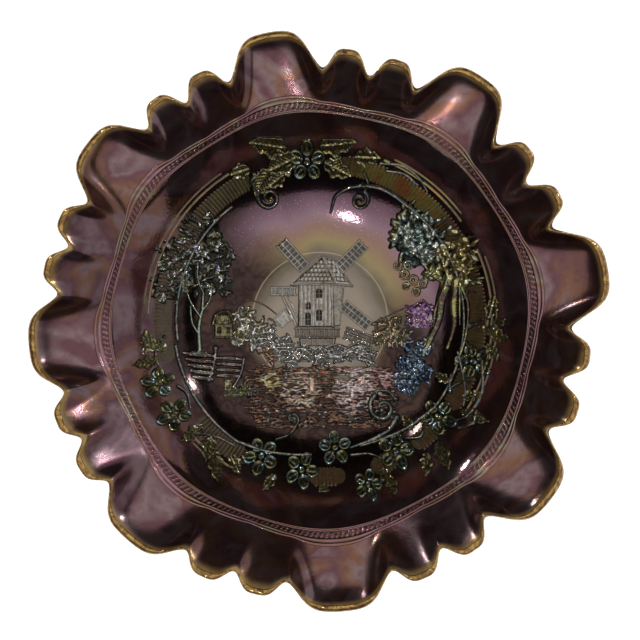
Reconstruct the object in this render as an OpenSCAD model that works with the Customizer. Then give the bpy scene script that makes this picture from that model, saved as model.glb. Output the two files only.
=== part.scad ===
// Ruffled bowl of pressed iridescent glass with a raised country scene in its well.
// The origin is at the middle of the foot's resting face, +Z is up, and all sizes are in mm.

/* [Bowl] */
// Height of the inside floor above the resting face
floor_h = 11; // [10:0.5:12]
// Thickness of the glass in the well and wall
glass = 4.4; // [3.5:0.1:5.5]
// Radius of the flat middle of the floor
flat_r = 24; // [20:1:28]
// Radius of the curve that turns the floor up into the wall
bend_r = 69; // [66:0.5:74]
// Radius at which the ruffling starts
well_r = 74; // [72:0.5:76]

/* [Foot] */
// Outer radius of the collar foot
foot_r = 37; // [35:0.5:40]
// Width of the foot's resting face
foot_w = 6; // [4:0.5:8]

/* [Ruffled brim] */
// Number of wide lobes, with two small crimps between each pair
lobes = 8; // [6:1:10]
// Radius at the tip of a wide lobe
lobe_r = 112.5; // [109:0.5:114]
// Height of the rim at a wide lobe
lobe_z = 56; // [54:0.5:58]
// Radius at the tip of a small crimp
crimp_r = 106.5; // [104:0.5:108]
// Height of the rim at a small crimp
crimp_z = 60.5; // [58:0.5:62]
// Radius at the bottom of a notch
notch_r = 100; // [98:0.5:102]
// Height of the rim at a notch
notch_z = 58.5; // [57:0.5:61]
// Thickness of the glass at the rim
rim_t = 3.4; // [3:0.1:4.2]
// How far the hand crimping leaves the notches off centre
lean = 4; // [0:0.2:4]
// How many degrees the hand crimping leaves the lobes out of step
drift = 3.9; // [0:0.1:5]

/* [Raised decoration] */
// Height of the raised scene above the glass
relief = 1.3; // [0.8:0.1:1.6]
// Number of radial ribs in the band round the scene
ribs = 72; // [48:4:84]
// Number of panels pressed into the outside of the wall
panels = 16; // [12:2:20]

/* [Hidden] */

// Finish colours
amethyst = [0.20, 0.11, 0.16];
mauve = [0.42, 0.28, 0.34];
amber = [0.66, 0.48, 0.18];
olive = [0.42, 0.42, 0.26];
bronze = [0.50, 0.42, 0.30];
sea = [0.22, 0.34, 0.46];
smoke = [0.50, 0.46, 0.44];

bend_z = floor_h + bend_r;
floor_a = asin((foot_r + 1 - flat_r) / bend_r);
well_a = asin((well_r - flat_r) / bend_r);

// Point of the wall's section: a is the angle of the bend, out is the depth below the inside
function wall_pt(a, out) = [
    flat_r + (bend_r + out) * sin(a),
    bend_z - (bend_r + out) * cos(a)
];
function wall_pts(a0, a1, n, out) = [for (i = [0 : n]) wall_pt(a0 + (a1 - a0) * i / n, out)];
function backwards(pts) = [for (i = [len(pts) - 1 : -1 : 0]) pts[i]];

module floor_section(n) {
    inside = wall_pts(0, floor_a, n, 0);
    outside = wall_pts(0, floor_a, n, glass);
    polygon(concat([[0, floor_h]], inside, backwards(outside), [[0, floor_h - glass]]));
}

module wall_section(n) {
    polygon(concat(wall_pts(floor_a, well_a, n, 0), backwards(wall_pts(floor_a, well_a, n, glass))));
}

module foot_ring() {
    edge = 0.8;
    color(amethyst) difference() {
        rotate_extrude($fn = 180) translate([foot_r - foot_w, 0]) polygon([
            [edge, 0], [foot_w - edge, 0], [foot_w, edge],
            [foot_w, floor_h], [0, floor_h], [0, edge]]);
        rotate_extrude($fn = 180) polygon(concat(
            [[0, floor_h - glass]], wall_pts(0, floor_a, 6, glass),
            [[foot_r + 1, floor_h + 1], [0, floor_h + 1]]));
    }
}

module well_floor() {
    color(smoke) rotate_extrude($fn = 180) floor_section(6);
}

module bowl_wall() {
    color(amethyst) rotate_extrude($fn = 180) wall_section(12);
}

// The ruffled part: each meridian is two cubic curves, from the wall to the ring band and on to
// the rim. The lobes, crimps and notches each have a share in where it ends.
// How far round from its wide lobe an angle lies: 0 at the lobe, 1 midway to the next one
function lobe_turn(th) = (th - 7.4 - drift * cos(th - 57)) * lobes / 360;
function beat(th) = 2 * abs(lobe_turn(th) - round(lobe_turn(th)));
function smooth(x) = let (c = min(1, max(0, x))) c * c * (3 - 2 * c);
// Share of wide lobe at the ring band and, squarer, at the rim, and share of small crimp
function band_share(th) = (1 + cos(180 * beat(th))) / 2;
function rim_share(th) = let (b = beat(th)) smooth(1 - pow(min(1, 2 * b), 2.3)) * (1 - b * b / 2);
function crimp_share(th) = beat(th) > 0.5 ? smooth(abs(sin(360 * (beat(th) - 0.5)))) : 0;

function toward(a) = [cos(a), sin(a)];
start_pt = wall_pt(well_a, 0);
// Where the meridian crosses the ring band and how steeply, between lobes and at a lobe
band_pt = [85, 44];
band_slope = 40;
lobe_pt = [88, 43.4];
lobe_slope = 20;
// The last handle of a meridian, which sets how the rim curls
lobe_curl = 3 * toward(56);
crimp_curl = 6 * toward(26);
notch_curl = 3.5 * toward(-4);
function uneven(th) = lean * cos(th - 220) * (1 - rim_share(th)) * (1 - 0.4 * crimp_share(th));
function meridian(th) =
    let (b = band_share(th), l = rim_share(th), c = crimp_share(th), n = 1 - l - c)
    let (m = band_pt + b * (lobe_pt - band_pt))
    let (along = toward(band_slope + b * (lobe_slope - band_slope)))
    let (curl = lobe_curl * l + crimp_curl * c + notch_curl * n)
    let (rim = [lobe_r, lobe_z] * l + [crimp_r, crimp_z] * c + [notch_r, notch_z] * n
        + [uneven(th), 0])
    [start_pt, start_pt + 4 * toward(well_a), m - (4 + 3 * b) * along, m,
        m + (10 + 9 * l + 2 * c) * along, rim - curl, rim];
function cubic(p, i, t) = pow(1 - t, 3) * p[i] + 3 * pow(1 - t, 2) * t * p[i + 1]
    + 3 * (1 - t) * t * t * p[i + 2] + pow(t, 3) * p[i + 3];
function slope(p, i, t) = 3 * pow(1 - t, 2) * (p[i + 1] - p[i])
    + 6 * (1 - t) * t * (p[i + 2] - p[i + 1]) + 3 * t * t * (p[i + 3] - p[i + 2]);
// A point in the ruffled glass: v runs from wall to rim, out is the depth below the inside
function ruffle(th, v, out) =
    let (p = meridian(th), i = v < 0.5 ? 0 : 3, t = v < 0.5 ? 2 * v : 2 * v - 1)
    let (d = slope(p, i, t) / norm(slope(p, i, t)), flat = cubic(p, i, t) + out * [d.y, -d.x])
    [flat.x * cos(th), flat.x * sin(th), flat.y];
function depth(v) = glass + (rim_t - glass) * v;

around = 240;
// Solid between two v values: lift raises its inside face, n is the number of steps along v
module ruffled(v0, v1, n, lift = 0) {
    vs = [for (i = [0 : n]) v0 + (v1 - v0) * i / n];
    section = concat([for (v = vs) [v, -lift]], [for (i = [n : -1 : 0]) [vs[i], depth(vs[i])]]);
    m = len(section);
    pts = [for (k = [0 : around - 1]) for (s = section) ruffle(k * 360 / around, s[0], s[1])];
    faces = [for (k = [0 : around - 1]) for (j = [0 : m - 1])
        let (a = k * m, b = ((k + 1) % around) * m, i = (j + 1) % m)
        for (f = [[a + j, b + j, b + i], [a + j, b + i, a + i]]) f];
    polyhedron(pts, faces, convexity = 12);
}

band_in = 0.4;
band_out = 0.53;
edge_v = 0.94;

module upper_wall() {
    color(amethyst) ruffled(0, band_in, 3);
}

module ring_band() {
    color(mauve) ruffled(band_in, band_out, 1, 0.6);
}

module brim() {
    color(amethyst) ruffled(band_out, edge_v, 6);
}

module gilt_edge() {
    color(amber) ruffled(edge_v, 1, 1, 0.3);
}

module outside_panels() {
    rib_w = 1.6;
    rib_h = 0.9;
    color(amethyst) intersection() {
        rotate_extrude($fn = 180) polygon(concat(
            wall_pts(floor_a + 2, well_a - 1, 10, glass),
            backwards(wall_pts(floor_a + 2, well_a - 1, 10, glass + rib_h))));
        union() for (i = [0 : panels - 1]) rotate(i * 360 / panels)
            translate([foot_r, -rib_w / 2, 0]) cube([well_r, rib_w, bend_z / 2]);
    }
}

// Raised decoration: a flat drawing, pushed up out of the well's inside face. The raised layer
// runs on a little past the well, straight up the wall's slope
past_well = 7;
function layer_pts(out) =
    concat(wall_pts(0, well_a, 18, out), [wall_pt(well_a, out) + past_well * toward(well_a)]);

module raised(h = relief) {
    intersection() {
        rotate_extrude($fn = 180)
            polygon(concat([[0, floor_h]], layer_pts(0), backwards(layer_pts(-h)), [[0, floor_h + h]]));
        linear_extrude(bend_z) children();
    }
}

// A straight bar between two points of the drawing
module bar(a, b, w) {
    d = b - a;
    translate(a) rotate(atan2(d.y, d.x)) translate([0, -w / 2]) square([norm(d), w]);
}

module lattice(l, w, n, t = 0.9) {
    for (s = [-1, 1]) translate([0, s * (w - t) / 2 - t / 2]) square([l, t]);
    for (i = [0 : n]) translate([i * (l - t) / n, -w / 2]) square([t, w]);
}

// The windmill: its tower's lower left corner, its sails' hub, and its gallery's left end
tower_at = [-9.6, -2.8];
tower_size = [19.6, 18];
hub_at = [0.5, 14.5];
gallery_at = [-11, -8];
gallery_size = [21.5, 4.8];
slit = 0.5;

module cap_outline() {
    polygon([[-13, 15.2], [-1.7, 27], [6, 26], [13.5, 15.2]]);
}

module mill_tower() {
    boards = 6;
    color(smoke) raised() difference() {
        translate(tower_at) square(tower_size);
        for (i = [1 : boards]) translate(tower_at + [i * 2.4, 1]) square([slit, tower_size.y * 0.65]);
        translate([0.5, 11]) circle(1.6, $fn = 24);
    }
}

module mill_cap() {
    color(smoke) raised(relief + 0.3) difference() {
        cap_outline();
        for (i = [1 : 3]) bar([-11 + i * 3, 16.2 + i * 2.2], [11 - i * 1.6, 16.2 + i * 2.2], slit);
    }
}

module mill_sails() {
    sail_l = 17;
    sail_w = 5.4;
    sail_from = 9;
    color(bronze) raised() difference() {
        for (i = [0 : 3]) translate(hub_at) rotate(45 + 90 * i) translate([sail_from, 0])
            lattice(sail_l, sail_w, 6);
        translate(tower_at) square(tower_size);
        cap_outline();
        translate(gallery_at) square(gallery_size);
        translate([9.5, -13]) square([15, 11]);
    }
}

module mill_gallery() {
    posts = 8;
    post_w = 0.8;
    rail_h = 0.9;
    pitch = (gallery_size.x - post_w) / posts;
    color(bronze) raised(relief + 0.2) translate(gallery_at) {
        for (i = [0 : posts]) translate([i * pitch, 0]) square([post_w, gallery_size.y]);
        for (y = [0, gallery_size.y - rail_h]) translate([0, y]) square([gallery_size.x, rail_h]);
    }
}

module mill_ramp() {
    color(bronze) raised() translate([10.9, -4.2]) rotate(-27) lattice(14, 5, 6);
}

module cottage() {
    color(olive) raised() {
        translate([-46, -7.5]) square([7.5, 5.3]);
        polygon([[-47.5, -2.2], [-43.5, 3.2], [-39, 3.2], [-37.2, -2.2]]);
    }
}

module fence() {
    color(bronze) raised() {
        for (i = [0 : 2]) bar([-58, -17.5 - i * 3], [-47, -15 - i * 3.4], 1.5);
        bar([-45, -13], [-48.6, -27], 1.6);
        for (i = [0 : 1]) bar([-43.6, -17.3 - i * 3], [-35.6, -17.6 - i * 3.2], 1.5);
        bar([-33, -17.5], [-38.5, -30], 1.6);
    }
}

// A round clump of foliage: rings of small discs around a middle
module clump(at, r, n, leaf) {
    translate(at) {
        circle(r * 0.55, $fn = 24);
        for (i = [0 : n - 1]) rotate(i * 360 / n) translate([r - leaf, 0]) circle(leaf, $fn = 16);
    }
}

module left_tree() {
    color(olive) raised() {
        bar([-53, -12], [-53, 12], 1.8);
        bar([-62.5, -10], [-62.5, 8], 1.2);
        clump([-52, 30], 9, 9, 3.4);
        clump([-60, 18], 7, 7, 3);
        clump([-47, 18], 7, 7, 3);
        clump([-43, 42], 6, 7, 2.6);
    }
}

module right_tree() {
    color(olive) raised() {
        bar([54, 16], [49.5, -15], 2.2);
        bar([58, 14], [53, -13], 1.6);
        clump([48, 34], 9, 9, 3.4);
        clump([60, 24], 7.5, 7, 3.2);
        clump([37, 41], 7, 7, 3);
        clump([42, 49], 5.5, 7, 2.4);
        clump([44, 19], 6, 7, 2.6);
    }
}

module hills() {
    color(mauve) raised(0.7) {
        polygon([[18, -1], [27, 4.2], [41, 7.5], [50, 8], [50, -1]]);
        polygon([[-38, 8.5], [-29, 11.5], [-18, 8], [-12, 3], [-12, -1], [-29, -1], [-29.5, 3]]);
    }
}

module bushes() {
    color(olive) raised() {
        clump([-33.5, -1.5], 4.8, 7, 2.2);
        for (i = [0 : 2]) clump([26.5 + i * 5, -5.5 - i * 0.6], 3.4, 6, 1.6);
    }
    color(sea) raised() {
        clump([40, -19], 5.5, 7, 2.4);
        clump([46, -25], 5, 7, 2.2);
        clump([-27, -14], 4.2, 7, 1.8);
    }
}

module pond_ripples() {
    rows = 6;
    color(sea) raised(0.9) for (j = [0 : rows - 1]) {
        half = 30 - abs(j - 1) * 3.6;
        for (i = [-2 : 2]) translate([i * half / 2.6 - 2 + (j % 2) * 2.4, -19 - j * 4.4])
            scale([half / 6, 0.62]) circle(1, $fn = 24);
    }
    color(bronze) raised() bar([-3.5, -23], [-3.5, -33], 3);
}

module medallion_ribs() {
    inner_r = 62.5;
    outer_r = 69.5;
    color(olive) raised(0.9) difference() {
        for (i = [0 : ribs - 1]) rotate((i + 0.5) * 360 / ribs)
            translate([inner_r, -0.9]) square([outer_r - inner_r, 1.8]);
        for (a = [50 : 5 : 90]) rotate(a) translate([57, -3.5]) square([14, 7]);
    }
}

// A vine that ends in a spiral: r0 is the spiral's radius, turn is where it starts
module scroll(at, r0, turn, sense, w) {
    steps = 28;
    sweep = 500;
    function spiral(i, o) = let (f = i / steps, a = turn + sense * sweep * f, r = r0 * (1 - 0.8 * f) + o)
        [r * cos(a), r * sin(a)];
    translate(at) polygon(concat([for (i = [0 : steps]) spiral(i, w / 2)],
        [for (i = [steps : -1 : 0]) spiral(i, -w / 2)]));
    translate(at) rotate(turn + sense * sweep) translate([r0 * 0.2, 0]) circle(w * 0.7, $fn = 16);
}

module arc_bar(r, a0, a1, w) {
    steps = 16;
    polygon(concat(
        [for (i = [0 : steps]) let (a = a0 + (a1 - a0) * i / steps) (r + w / 2) * [cos(a), sin(a)]],
        [for (i = [steps : -1 : 0]) let (a = a0 + (a1 - a0) * i / steps) (r - w / 2) * [cos(a), sin(a)]]));
}

module vine_scrolls() {
    color(bronze) raised(relief + 0.1) {
        scroll([-21.4, 52.5], 6, 80, 1, 1.5);
        scroll([17.2, 52.2], 4.2, 100, -1, 1.4);
        scroll([27, -38.8], 7.2, -20, -1, 1.6);
        scroll([-28.7, -31.1], 3.4, 240, 1, 1.3);
        scroll([-10, -44], 3.2, 250, 1, 1.3);
        arc_bar(60.2, 120, 236, 1.5);
        arc_bar(60.2, -48, 62, 1.5);
    }
}

module flower(at, r) {
    petals = 5;
    rotate(at) translate([r, 0]) {
        circle(1.7, $fn = 24);
        for (i = [0 : petals - 1]) rotate(i * 360 / petals) translate([4.1, 0]) circle(2.5, $fn = 24);
    }
}

module wreath_flowers() {
    color(sea) raised(relief + 0.3) {
        for (p = [[95, 67], [201, 72], [213, 72], [246.5, 63], [263, 64], [276.5, 55], [286, 71],
            [300, 64], [321, 64.5], [345, 67]])
            flower(p[0], p[1]);
    }
}

// A pointed leaf: the overlap of two discs
module leaf(at, r, turn, l) {
    disc_r = l * 0.75;
    rotate(at) translate([r, 0]) rotate(turn) intersection() {
        translate([0, disc_r * 0.62]) circle(disc_r, $fn = 40);
        translate([0, -disc_r * 0.62]) circle(disc_r, $fn = 40);
    }
}

module wreath_leaves() {
    color(olive) raised() {
        for (p = [[107, 68, 60, 8], [116, 66, 100, 9], [83, 68, 110, 8], [74, 67, 80, 9], [66, 68, 100, 9],
            [57, 70, 70, 8], [50, 71, 100, 8], [233, 66, 110, 9], [226, 66, 70, 8], [192, 72, 60, 9],
            [356, 71, 60, 8], [311, 68, 80, 8], [330, 69, 120, 8], [292, 62, 70, 6], [255, 67, 110, 7]])
            leaf(p[0], p[1], p[2], p[3]);
    }
}

foot_ring();
well_floor();
bowl_wall();
upper_wall();
ring_band();
brim();
gilt_edge();
outside_panels();
mill_tower();
mill_cap();
mill_sails();
mill_gallery();
mill_ramp();
cottage();
fence();
left_tree();
right_tree();
hills();
bushes();
pond_ripples();
medallion_ribs();
vine_scrolls();
wreath_flowers();
wreath_leaves();
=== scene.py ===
"""A ruffled bowl of dark iridescent pressed glass, seen from straight above.

The CAD nodes give every region's place. Each is replaced here by a finer mesh of the same shape:
the smooth glass from the section's own formulas, and the raised scene as height drawings that
are pushed up out of the glass. Sizes are in mm until a mesh is made.
"""
import math

import bpy
import numpy as np
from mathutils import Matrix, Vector


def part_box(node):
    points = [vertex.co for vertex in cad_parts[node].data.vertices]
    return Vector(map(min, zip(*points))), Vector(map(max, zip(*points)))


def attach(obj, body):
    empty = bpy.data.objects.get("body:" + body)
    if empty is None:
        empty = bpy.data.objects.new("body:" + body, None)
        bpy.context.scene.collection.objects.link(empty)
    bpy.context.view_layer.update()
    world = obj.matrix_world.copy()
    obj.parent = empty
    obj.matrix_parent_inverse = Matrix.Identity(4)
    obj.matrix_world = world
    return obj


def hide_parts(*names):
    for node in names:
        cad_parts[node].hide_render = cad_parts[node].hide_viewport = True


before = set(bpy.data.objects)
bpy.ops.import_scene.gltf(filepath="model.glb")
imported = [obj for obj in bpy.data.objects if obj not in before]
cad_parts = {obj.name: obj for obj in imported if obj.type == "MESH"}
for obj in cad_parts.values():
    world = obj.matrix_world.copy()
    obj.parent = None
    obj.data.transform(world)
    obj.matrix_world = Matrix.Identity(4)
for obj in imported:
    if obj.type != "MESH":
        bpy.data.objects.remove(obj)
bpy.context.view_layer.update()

MM = 0.001

# ---- section of the bowl
FLOOR_H = 11.0   # the inside floor above the table
GLASS = 4.4      # thickness of the wall
FLAT_R = 24.0    # the floor's flat middle
BEND_R = 69.0    # radius of the round wall in section
WELL_R = 74.0    # where the round wall ends
BEND_Z = FLOOR_H + BEND_R
WELL_A = math.asin((WELL_R - FLAT_R) / BEND_R)
FOOT_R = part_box("foot_ring")[1].x / MM
FOOT_W = 6.0
FLOOR_A = math.asin((FOOT_R + 1 - FLAT_R) / BEND_R)

# The ruffled part. Three meridians are mixed at every angle, by their shares there.
LOBES = 8
FIRST_LOBE = 7.4                     # degrees
LOBE_DRIFT, DRIFT_AT = 3.9, 57       # the hand crimping's unevenness, in degrees
LEAN, LEAN_AT = 4.0, 220             # the notches' lean to one side, and its direction
RIM_T = 3.4
WALL_HANDLE = 4
BAND_MID, BAND_SLOPE = np.array((85.0, 44.0)), 40.0
LOBE_MID, LOBE_SLOPE = np.array((88.0, 43.4)), 20.0
RIM = {
    # kind: point at the rim, slope there and length of the handle into it
    "lobe": ((112.5, 56.0), 56, 3.0),
    "crimp": ((106.5, 60.5), 26, 6.0),
    "notch": ((100.0, 58.5), -4, 3.5),
}
BAND_IN = 0.40   # the ring band's edges, as shares of the way up the ruffled part
BAND_OUT = 0.53
EDGE_V = 0.94    # where the lip starts


def smooth(x):
    x = np.clip(x, 0.0, 1.0)
    return x * x * (3 - 2 * x)


def polar(angle, r=1.0):
    return (r * math.cos(math.radians(angle)), r * math.sin(math.radians(angle)))


def wall_point(a, out):
    """Radius and height on the round wall; out is the depth below the inside face."""
    return FLAT_R + (BEND_R + out) * np.sin(a), BEND_Z - (BEND_R + out) * np.cos(a)


def well_height(r):
    """Height of the well's inside face at a radius."""
    return wall_point(np.arcsin(np.clip((r - FLAT_R) / BEND_R, 0.0, 0.999)), 0.0)[1]


def shares(th):
    """Share of wide lobe at the ring band and at the rim, and of small crimp, at an angle."""
    drift = LOBE_DRIFT * np.cos(np.radians(th - DRIFT_AT))
    turn = (th - FIRST_LOBE - drift) * LOBES / 360
    beat = 2 * np.abs(turn - np.round(turn))
    at_band = (1 + np.cos(np.pi * beat)) / 2
    at_rim = smooth(1 - np.minimum(1, 2 * beat) ** 2.3) * (1 - beat * beat / 2)
    crimp = np.where(beat > 0.5, smooth(np.abs(np.sin(2 * np.pi * (beat - 0.5)))), 0.0)
    return at_band, at_rim, crimp


def ruffle(v, th, out):
    """Points of the ruffled glass. v runs from the wall to the rim, th is in degrees."""
    at_band, at_rim, crimp = (share[:, None] for share in shares(th))
    start = np.array(wall_point(WELL_A, 0.0)) + 0 * at_band
    mid = BAND_MID + (LOBE_MID - BAND_MID) * at_band
    lie = np.radians(BAND_SLOPE + (LOBE_SLOPE - BAND_SLOPE) * at_band)
    lie = np.concatenate([np.cos(lie), np.sin(lie)], axis=1)
    rim, into_rim = 0, 0
    for share, kind in ((at_rim, "lobe"), (crimp, "crimp"), (1 - at_rim - crimp, "notch")):
        point, slope, handle = RIM[kind]
        rim = rim + share * np.array(point)
        into_rim = into_rim + share * (np.array(point) - polar(slope, handle))
    lean = LEAN * np.cos(np.radians(th - LEAN_AT))[:, None] * (1 - at_rim) * (1 - 0.4 * crimp)
    lean = lean * np.array((1.0, 0.0))
    # two cubic curves in a row, from the wall to the ring band and on to the rim
    c = [start, start + polar(math.degrees(WELL_A), WALL_HANDLE), mid - (4 + 3 * at_band) * lie,
         mid, mid + (10 + 9 * at_rim + 2 * crimp) * lie, into_rim + lean, rim + lean]
    half = np.where(v < 0.5, 0, 1)
    t = 2 * v - half
    p = [np.where(half == 0, c[i].T, c[i + 3].T) for i in range(4)]
    w = 1 - t
    q = w**3 * p[0] + 3 * w * w * t * p[1] + 3 * w * t * t * p[2] + t**3 * p[3]
    d = 3 * w * w * (p[1] - p[0]) + 6 * w * t * (p[2] - p[1]) + 3 * t * t * (p[3] - p[2])
    d = d / np.hypot(d[0], d[1])
    return turned(q[0] + out * d[1], q[1] - out * d[0], th)


def turned(r, z, th):
    """Points at a radius and height, turned round the bowl by degrees."""
    a = np.radians(th)
    return np.stack([r * np.cos(a), r * np.sin(a), z + 0 * a], axis=-1)


def depth(v):
    """Thickness of the ruffled glass."""
    return GLASS + (RIM_T - GLASS) * v


# ---- meshes
def mesh_object(name, verts, faces, material, flat=None):
    """A smooth-shaded object from points in mm and quads; flat marks the faces left unsmoothed."""
    me = bpy.data.meshes.new(name)
    verts = np.asarray(verts, dtype=np.float32) * MM
    me.from_pydata(verts.tolist(), [], faces.tolist(), shade_flat=False)
    if flat is not None:
        me.polygons.foreach_set("use_smooth", ~flat)
    me.materials.append(material)
    ob = bpy.data.objects.new(name, me)
    bpy.context.scene.collection.objects.link(ob)
    return ob


def ring_faces(rows, around):
    """Quads of a closed tube of rows, each with points all the way round."""
    i, j = np.meshgrid(np.arange(rows), np.arange(around), indexing="ij")
    i2, j2 = (i + 1) % rows * around, (j + 1) % around
    i = i * around
    return np.stack([i + j, i + j2, i2 + j2, i2 + j], -1).reshape(-1, 4)


def finish_piece(ob, *nodes, slot):
    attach(ob, "root")
    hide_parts(*nodes)


def note(ob, name, values):
    """Keep a number for each point, for the material to read."""
    data = ob.data.attributes.new(name, "FLOAT", "POINT").data
    data.foreach_set("value", np.asarray(values, dtype=np.float32))


# ---- materials
class Paint:
    """A metallic-lustre glass material, wired up a step at a time. Places are in mm."""

    def __init__(self, name, metallic):
        self.material = bpy.data.materials.new(name)
        self.material.use_nodes = True
        self.tree = self.material.node_tree
        self.shader = self.tree.nodes["Principled BSDF"]
        self.shader.inputs["Metallic"].default_value = metallic
        place = self.node("TexCoord").outputs["Object"]
        self.place = self.scaled(place, 1 / MM)

    def node(self, kind, inputs=None, **settings):
        """A node, with each input linked to a socket or set to a plain value."""
        n = self.tree.nodes.new("ShaderNode" + kind)
        for key, value in settings.items():
            setattr(n, key, value)
        for key, value in (inputs or {}).items():
            if isinstance(value, bpy.types.NodeSocket):
                self.tree.links.new(value, n.inputs[key])
            else:
                n.inputs[key].default_value = value
        return n

    def feed(self, name, source):
        self.tree.links.new(source, self.shader.inputs[name])

    def scaled(self, vector, by):
        return self.node("VectorMath", {0: vector, "Scale": by}, operation="SCALE").outputs[0]

    def noise(self, size, detail=3.0, distortion=0.0, seed=0.0):
        """Cloudy noise from 0 to 1 with features of about this size."""
        inputs = {"Vector": self.place, "W": seed, "Scale": 1.0 / size, "Detail": detail,
                  "Distortion": distortion}
        return self.node("TexNoise", inputs, noise_dimensions="4D").outputs["Fac"]

    def math(self, operation, a, b):
        return self.node("Math", {0: a, 1: b}, operation=operation).outputs[0]

    def span(self, value, low, high, to_low=0.0, to_high=1.0, kind="SMOOTHSTEP"):
        inputs = {"Value": value, "From Min": low, "From Max": high, "To Min": to_low,
                  "To Max": to_high}
        return self.node("MapRange", inputs, interpolation_type=kind).outputs[0]

    def drift(self, size, seed, low, high, distortion=0.0):
        """A number that wanders between low and high over the glass."""
        return self.span(self.noise(size, 2, distortion, seed), 0.3, 0.7, low, high, "LINEAR")

    def ramp(self, value, stops):
        n = self.node("ValToRGB", {0: value})
        e, stops = n.color_ramp.elements, list(stops)
        while len(e) < len(stops):
            e.new(0.5)
        for item, (at, colour) in zip(e, stops):
            item.position = at
            item.color = (*colour, 1.0)
        return n.outputs[0]

    def clouds(self, noise, colours):
        """Colours in turn, spread over the middle of a noise's range."""
        return self.ramp(noise, zip(np.linspace(0.32, 0.68, len(colours)), colours))

    def mix(self, share, a, b, kind="MIX"):
        a, b = ((*c, 1.0) if isinstance(c, tuple) else c for c in (a, b))
        inputs = {"Factor": share, "A": a, "B": b}
        return self.node("Mix", inputs, data_type="RGBA", blend_type=kind).outputs["Result"]

    def noted(self, name):
        return self.node("Attribute", attribute_name=name).outputs["Fac"]

    def distance(self, x=0.0, y=0.0):
        """Distance in plan view from a place."""
        flat = {0: self.place, 1: (1, 1, 0), 2: (-x, -y, 0)}
        flat = self.node("VectorMath", flat, operation="MULTIPLY_ADD").outputs[0]
        return self.node("VectorMath", {0: flat}, operation="LENGTH").outputs["Value"]

    def axis(self, which):
        return self.node("SeparateXYZ", {0: self.place}).outputs[which]

    def bump(self, height, strength, distance):
        n = self.node("Bump", {"Height": height, "Strength": strength, "Distance": distance * MM})
        self.feed("Normal", n.outputs[0])

    def finish(self, colour, rough):
        self.feed("Base Color", colour)
        self.feed("Roughness", rough)
        return self.material


AUBERGINE, MAUVE = (0.120, 0.056, 0.064), (0.200, 0.130, 0.130)
BROWN, DARK = (0.175, 0.085, 0.055), (0.040, 0.024, 0.020)


def film_glass(name):
    """Near-black amethyst glass with a drifting oil-slick film."""
    p = Paint(name, 0.92)
    swirl = [AUBERGINE, MAUVE, AUBERGINE, BROWN, MAUVE, AUBERGINE]
    colour = p.clouds(p.noise(34, 3, 1.2, 1.0), swirl)
    fine = p.clouds(p.noise(2.6, 4, 0.4, 7.0), [(0.66, 0.64, 0.68), (1, 1, 1), (1.0, 0.95, 0.9)])
    colour = p.mix(0.6, colour, fine, "MULTIPLY")
    p.bump(p.noise(1.1, 3, 0.2, 3.0), 0.26, 0.10)
    return p, colour


def well_glass():
    """The well: a grey floor, a gold and purple crescent above it, and dark elsewhere, with light
    and shade painted in. The floor's grey paints the paper under the glass and the ceiling's
    reflection; the crescent is the film's hues shown as a painted reflection of the light in the
    upper wall; the dark is painted shade.
    """
    p, swirl = film_glass("amethyst_well")
    r, x, y = p.distance(), p.axis("X"), p.axis("Y")
    drift = p.drift(26, 4.0, -3, 3, 0.4)
    uneven_r = p.math("ADD", r, drift)
    # the film's hues by radius; their brightness is a painted reflection of the light in the wall,
    # fading to dark past it
    crescent = p.ramp(p.math("DIVIDE", uneven_r, 80.0), [
        (0.0, (0.20, 0.168, 0.135)), (0.24, (0.25, 0.205, 0.160)), (0.34, (0.15, 0.125, 0.095)),
        (0.42, (0.26, 0.20, 0.10)), (0.49, (0.24, 0.145, 0.11)), (0.57, (0.225, 0.142, 0.168)),
        (0.64, (0.15, 0.085, 0.11)), (0.73, (0.05, 0.028, 0.032)), (0.85, DARK)])
    # painted light: the crescent shows on the side of the well that mirrors the lamp and ceiling,
    # and on the floor's middle
    upward = p.math("ADD", p.math("MULTIPLY", y, 0.95), p.math("MULTIPLY", x, 0.42))
    upward = p.math("ADD", upward, drift)
    lit = p.math("MAXIMUM", p.span(upward, 8, 32), p.span(uneven_r, 34, 25))
    # painted shade: dark clouds where the well mirrors only the dark room
    painted_shade = p.clouds(p.noise(9, 2, 0.6, 5.0), [
        (0.022, 0.012, 0.012), (0.05, 0.03, 0.026), (0.026, 0.015, 0.014), (0.065, 0.036, 0.028),
        (0.03, 0.02, 0.016)])
    colour = p.mix(lit, painted_shade, crescent)
    # painted light: a pale ring where the foot's edge would show through the glass
    foot_line = p.math("MULTIPLY", p.span(r, 28.9, 29.3), p.span(r, 29.9, 29.4))
    colour = p.mix(p.math("MULTIPLY", foot_line, 0.35), colour, (0.50, 0.42, 0.32))
    colour = p.mix(p.span(r, 60, 76), colour, swirl)
    # pale specks, on the upper part of the well only
    speck_cells = p.node("TexVoronoi", {"Scale": 0.9, "Vector": p.place}, feature="F1").outputs["Distance"]
    upper = p.math("MULTIPLY", p.span(y, 18, 42), p.span(r, 62, 52))
    speck = p.math("MULTIPLY", p.math("MULTIPLY", p.span(speck_cells, 0.13, 0.05), upper), 0.9)
    return p.finish(p.mix(speck, colour, (0.6, 0.56, 0.55)), p.drift(14, 9.0, 0.07, 0.13))


def brim_glass():
    """The brim, which turns to worn gold near its edge."""
    p, colour = film_glass("amethyst_brim_film")
    start, end = 0.86, 0.94
    gold = p.clouds(p.noise(9, 3, 0.6, 2.0), [
        (0.30, 0.17, 0.05), (0.42, 0.28, 0.10), (0.20, 0.10, 0.04)])
    share = p.math("MULTIPLY", p.span(p.noted("along"), start, end), 0.9)
    p.feed("Metallic", p.span(p.noted("along"), start, end, 0.9, 0.45))
    return p.finish(p.mix(share, colour, gold), p.drift(11, 9.0, 0.13, 0.24))


def plain_film(name, low=0.07, high=0.16):
    p, colour = film_glass(name)
    return p.finish(colour, p.drift(11, 9.0, low, high))


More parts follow.
